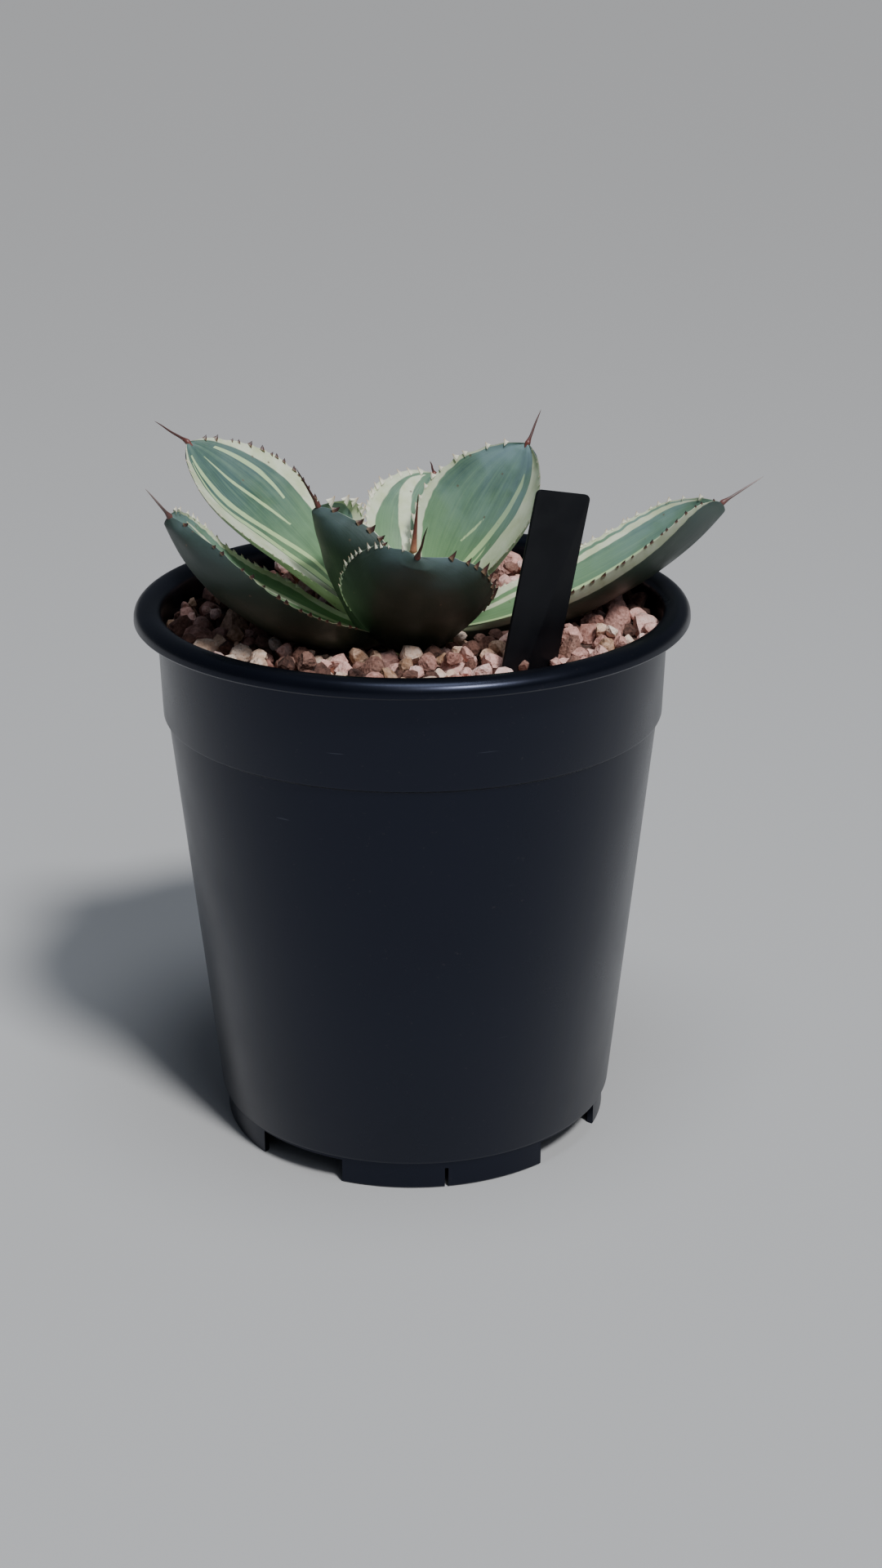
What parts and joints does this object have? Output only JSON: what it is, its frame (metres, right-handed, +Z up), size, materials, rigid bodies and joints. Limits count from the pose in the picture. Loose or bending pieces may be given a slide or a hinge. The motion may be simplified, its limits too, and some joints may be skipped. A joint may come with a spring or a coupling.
{
  "type": "potted agave",
  "caption": "Small variegated agave rosette with spined, toothed leaves in a round black plastic nursery pot, with a grit top dressing and a blank plant label.",
  "frame": {"origin": "bottom centre of the bounding box, on the surface that the pot stands on; the pot's axis lies about 9 mm to its left, at x = -0.0089", "axes": "+Z up, +X to the right and -Y towards the front, where the broad front leaf and the label are"},
  "size_m": [0.1398, 0.122, 0.1602],
  "materials": {
    "pot_plastic": "black moulded polypropylene with a soft sheen and fine scratches",
    "label_plastic": "black satin plastic strip",
    "potting_mix": "dark damp granular potting mix",
    "gravel": "porous pinkish-brown grit, dry",
    "pink_grit": "porous pale pink grit, dry and matt",
    "tan_grit": "porous tan grit, dry and matt",
    "brown_grit": "porous red-brown grit, dry and matt",
    "stem": "pale green-white stem tissue",
    "leaf": "waxy blue-green leaf with cream margins and stripes, white teeth and a red-brown spine",
    "bud": "unopened leaves, cream and salmon, with a red-brown spine"
  },
  "bodies": {
    "root": {"pot": "pot_plastic", "potting_mix": "potting_mix", "gravel_layer": "gravel", "stem": "stem", "leaf_left_low": "leaf", "leaf_right_long": "leaf", "leaf_left_back": "leaf", "leaf_front": "leaf", "leaf_right_back": "leaf", "leaf_back": "leaf", "leaf_left_inner": "leaf", "central_bud": "bud", "plant_label": "label_plastic", "stone_01": "pink_grit", "stone_02": "tan_grit", "stone_03": "pink_grit", "stone_04": "brown_grit", "stone_05": "pink_grit", "stone_06": "tan_grit", "stone_07": "pink_grit", "stone_08": "brown_grit", "stone_09": "pink_grit", "stone_10": "tan_grit", "stone_11": "pink_grit", "stone_12": "brown_grit", "stone_13": "pink_grit", "stone_14": "tan_grit", "stone_15": "pink_grit", "stone_16": "brown_grit", "stone_17": "pink_grit", "stone_18": "tan_grit", "stone_19": "pink_grit", "stone_20": "brown_grit", "stone_21": "pink_grit", "stone_22": "tan_grit", "stone_23": "pink_grit", "stone_24": "brown_grit"}
  },
  "joints": []
}
